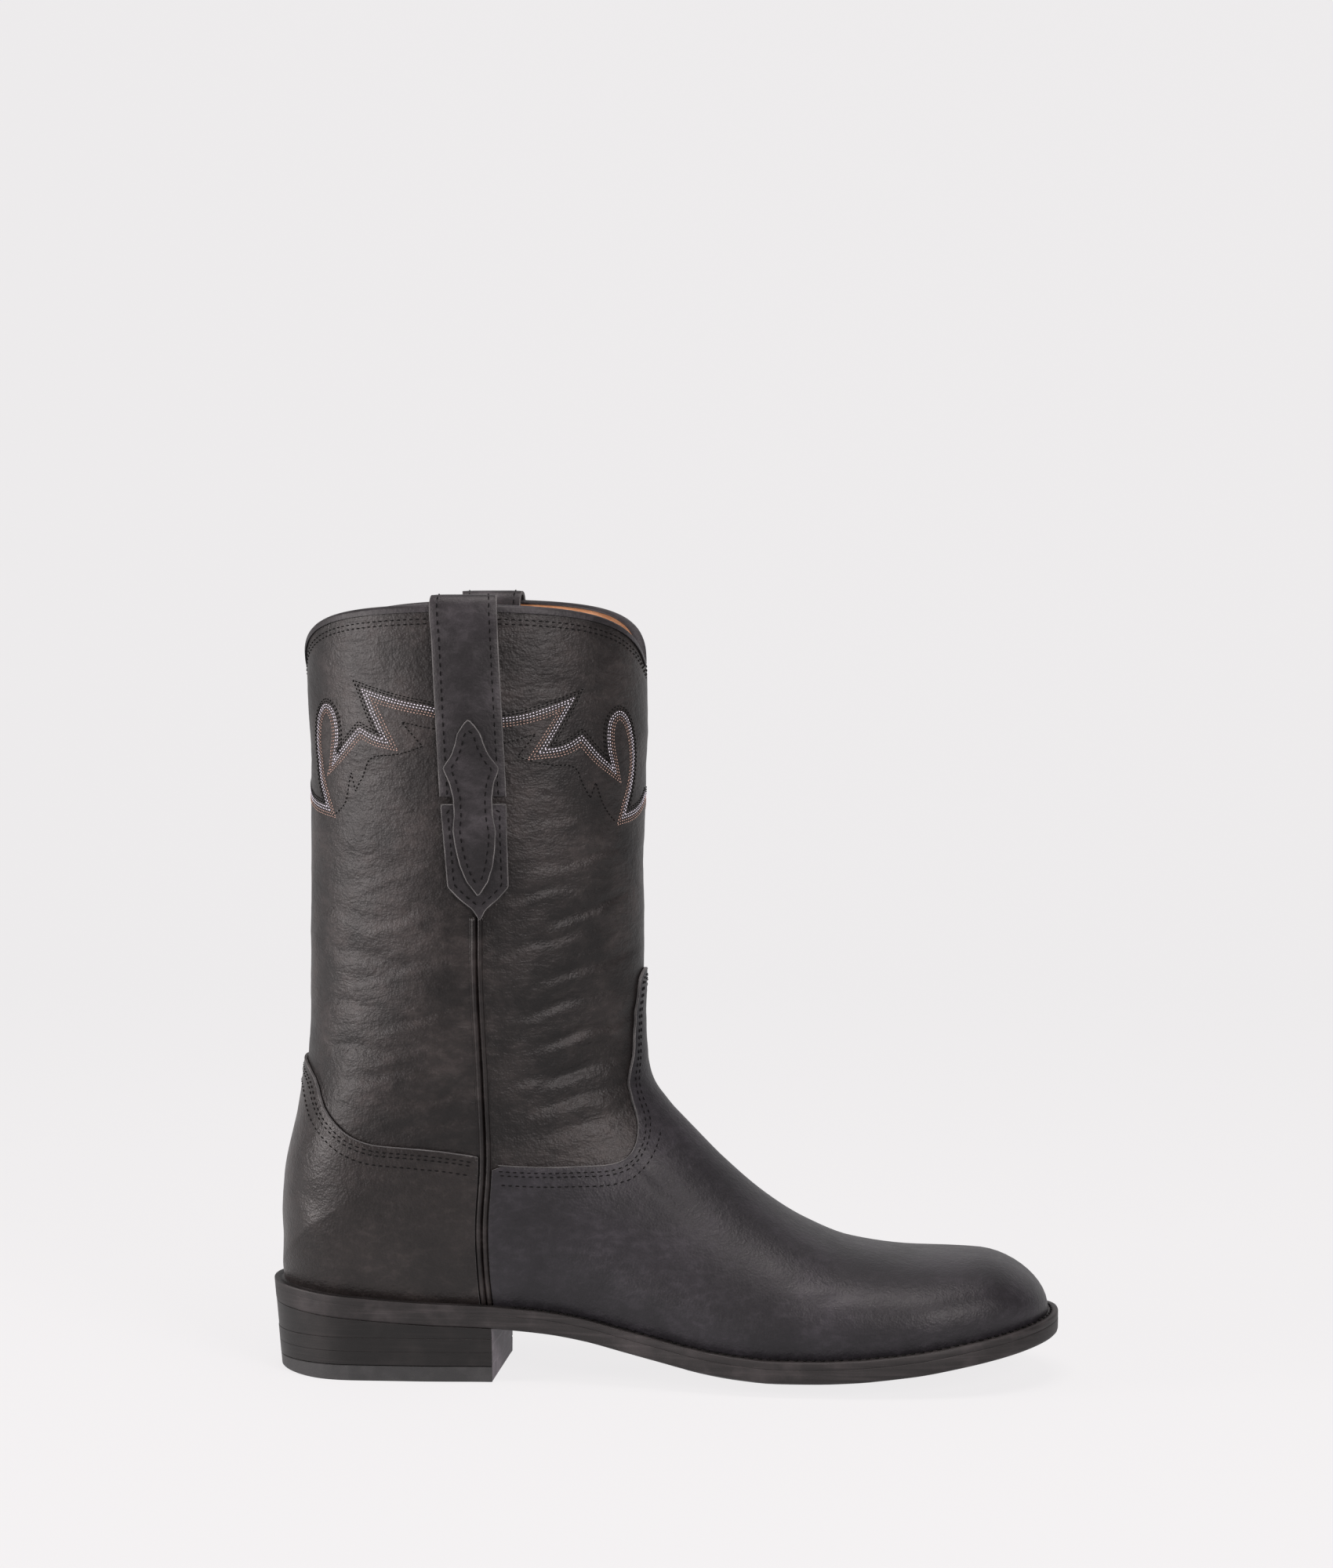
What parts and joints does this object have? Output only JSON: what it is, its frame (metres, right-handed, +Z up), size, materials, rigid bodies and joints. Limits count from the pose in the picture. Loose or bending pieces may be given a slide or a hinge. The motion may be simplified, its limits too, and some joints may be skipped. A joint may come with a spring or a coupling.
{
  "type": "roper boot",
  "caption": "Pull-on roper boot with round toe, low block heel, straight hollow shaft, dipped collar, pull straps and stitched vamp and counter overlays.",
  "frame": {"origin": "middle of the heel's tread, where the heel stands on the floor", "axes": "+X from heel to toe, +Y towards the inner side of the foot, +Z up"},
  "size_m": [0.3065, 0.1101, 0.3035],
  "materials": {
    "upper": "oiled satin black",
    "vamp": "oiled satin black",
    "counter": "oiled satin black",
    "collar_binding": "satin black",
    "side_piping": "satin black",
    "strap": "satin black",
    "insole": "natural tan",
    "welt": "waxed black edge",
    "outsole": "matte black",
    "heel_stack": "waxed black edge",
    "heel_cap": "matte black"
  },
  "bodies": {
    "root": {"upper": "upper", "vamp": "vamp", "counter": "counter", "collar_binding": "collar_binding", "side_piping_lateral": "side_piping", "side_piping_medial": "side_piping", "strap_base_lateral": "strap", "strap_base_medial": "strap", "strap_spear_lateral": "strap", "strap_spear_medial": "strap", "pull_strap_lateral": "strap", "pull_strap_medial": "strap", "insole": "insole", "welt": "welt", "heel_seat": "welt", "outsole": "outsole", "heel_wedge": "heel_stack", "heel_lift_1": "heel_stack", "heel_lift_2": "heel_stack", "heel_cap": "heel_cap"}
  },
  "joints": []
}
